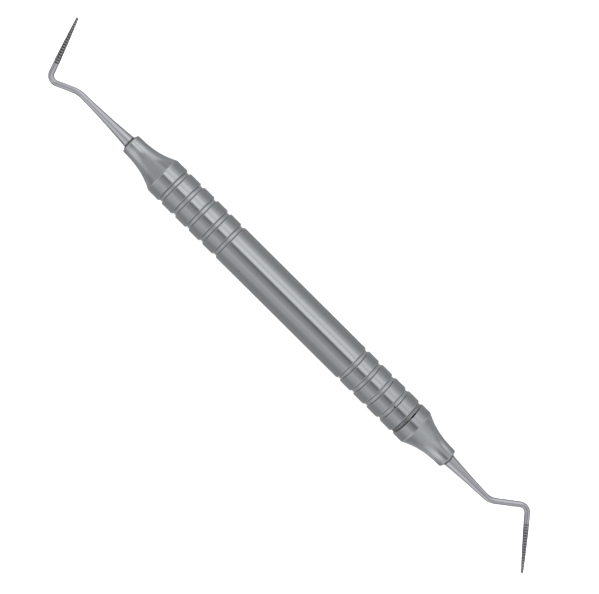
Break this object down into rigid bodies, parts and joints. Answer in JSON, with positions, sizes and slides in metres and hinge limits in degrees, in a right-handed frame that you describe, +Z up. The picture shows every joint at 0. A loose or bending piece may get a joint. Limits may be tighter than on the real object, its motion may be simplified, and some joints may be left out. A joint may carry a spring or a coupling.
{
  "type": "double-ended dental hand instrument",
  "caption": "Double-ended dental hand instrument with a hollow grooved steel handle, bell-shaped nose cones and bent, tapered, ring-marked tips.",
  "frame": {"origin": "the point under the middle of the handle where the round barrel rests on a level surface", "axes": "+X along the handle towards end A, the end whose shank is offset less; +Z up, away from the surface that it lies on; +Y towards the side that end A's shank is offset to, so end A's tip crosses to -Y and end B's tip to +Y"},
  "size_m": [0.1706, 0.0197, 0.01],
  "materials": {
    "handle_steel": "satin stainless steel, turned and drawn lengthwise",
    "shank_steel": "finely polished hardened stainless steel",
    "tang_seal": "dark filler"
  },
  "bodies": {
    "root": {"barrel": "handle_steel", "nose_cone_a": "handle_steel", "nose_cone_b": "handle_steel", "working_end_a": "shank_steel", "working_end_b": "shank_steel", "tang_seal_a": "tang_seal", "tang_seal_b": "tang_seal"}
  },
  "joints": []
}
